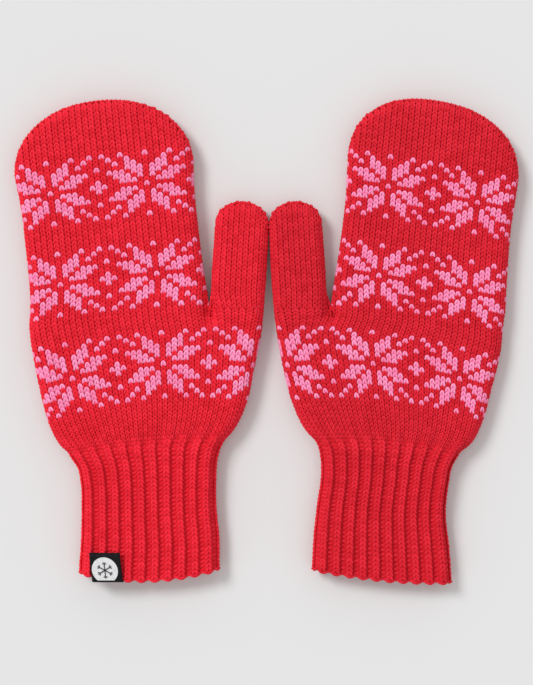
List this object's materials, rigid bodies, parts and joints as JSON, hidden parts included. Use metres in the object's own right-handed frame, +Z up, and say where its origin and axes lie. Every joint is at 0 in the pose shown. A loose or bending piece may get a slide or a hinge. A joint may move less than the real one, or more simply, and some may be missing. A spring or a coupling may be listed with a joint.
{
  "type": "knitted mittens",
  "caption": "Knitted mittens with three star bands, long ribbed cuffs and knitted thumbs; hollow for the hands, bending at the fingers, thumb and wrist.",
  "frame": {"origin": "middle of the pair's footprint, on the surface that the mittens lie on", "axes": "+X to the right across the pair, +Y from the cuffs towards the fingertips, +Z up out of the palms"},
  "size_m": [0.2728, 0.261, 0.016],
  "materials": {
    "red_knit": "soft stocking stitch in matt red yarn",
    "red_rib": "ribbed knit in matt red yarn",
    "pink_yarn": "soft matt pink yarn",
    "red_thread": "sewn in the red yarn",
    "elastic": "thin covered elastic yarn",
    "black_label": "woven tape with a slight sheen",
    "black_thread": "fine sewing thread"
  },
  "bodies": {
    "left_hand": {"left_lower_hand": "red_knit", "left_upper_hand": "red_knit", "left_thumb_join": "red_thread", "left_star_yarn_low": "pink_yarn", "left_star_yarn_mid": "pink_yarn"},
    "left_fingers": {"left_fingers": "red_knit", "left_tip_seam": "red_thread", "left_star_yarn_top": "pink_yarn"},
    "left_thumb": {"left_thumb": "red_knit", "left_thumb_seam": "red_thread"},
    "left_cuff": {"left_hem": "red_rib", "left_cuff": "red_rib", "left_cuff_elastic": "elastic", "left_label": "black_label", "left_label_stitches": "black_thread"},
    "right_hand": {"right_lower_hand": "red_knit", "right_upper_hand": "red_knit", "right_thumb_join": "red_thread", "right_star_yarn_low": "pink_yarn", "right_star_yarn_mid": "pink_yarn"},
    "right_fingers": {"right_fingers": "red_knit", "right_tip_seam": "red_thread", "right_star_yarn_top": "pink_yarn"},
    "right_thumb": {"right_thumb": "red_knit", "right_thumb_seam": "red_thread"},
    "right_cuff": {"right_hem": "red_rib", "right_cuff": "red_rib", "right_cuff_elastic": "elastic"}
  },
  "joints": [
    {"name": "left_finger_curl", "type": "hinge", "parent": "left_hand", "child": "left_fingers", "pos_m": [-0.084, 0.05915, 0.016], "axis": [0.9932, 0.1167, 0], "range_deg": [0, 75]},
    {"name": "left_thumb_flex", "type": "hinge", "parent": "left_hand", "child": "left_thumb", "pos_m": [-0.0158, 0.01642, 0.013], "axis": [0.9932, 0.1167, 0], "range_deg": [0, 60]},
    {"name": "left_wrist_bend", "type": "hinge", "parent": "left_hand", "child": "left_cuff", "pos_m": [-0.065, -0.0622, 0.014], "axis": [-0.9986, -0.0523, 0], "range_deg": [0, 60]},
    {"name": "right_finger_curl", "type": "hinge", "parent": "right_hand", "child": "right_fingers", "pos_m": [0.0857, 0.05915, 0.016], "axis": [0.9932, -0.1167, 0], "range_deg": [0, 75]},
    {"name": "right_thumb_flex", "type": "hinge", "parent": "right_hand", "child": "right_thumb", "pos_m": [0.0175, 0.01642, 0.013], "axis": [0.9932, -0.1167, 0], "range_deg": [0, 60]},
    {"name": "right_wrist_bend", "type": "hinge", "parent": "right_hand", "child": "right_cuff", "pos_m": [0.0667, -0.0622, 0.014], "axis": [-0.9986, 0.0523, 0], "range_deg": [0, 60]},
    {"name": "pair_apart", "type": "slide", "parent": "left_hand", "child": "right_hand", "axis": [1, 0, 0], "range_m": [0, 0.12]}
  ]
}
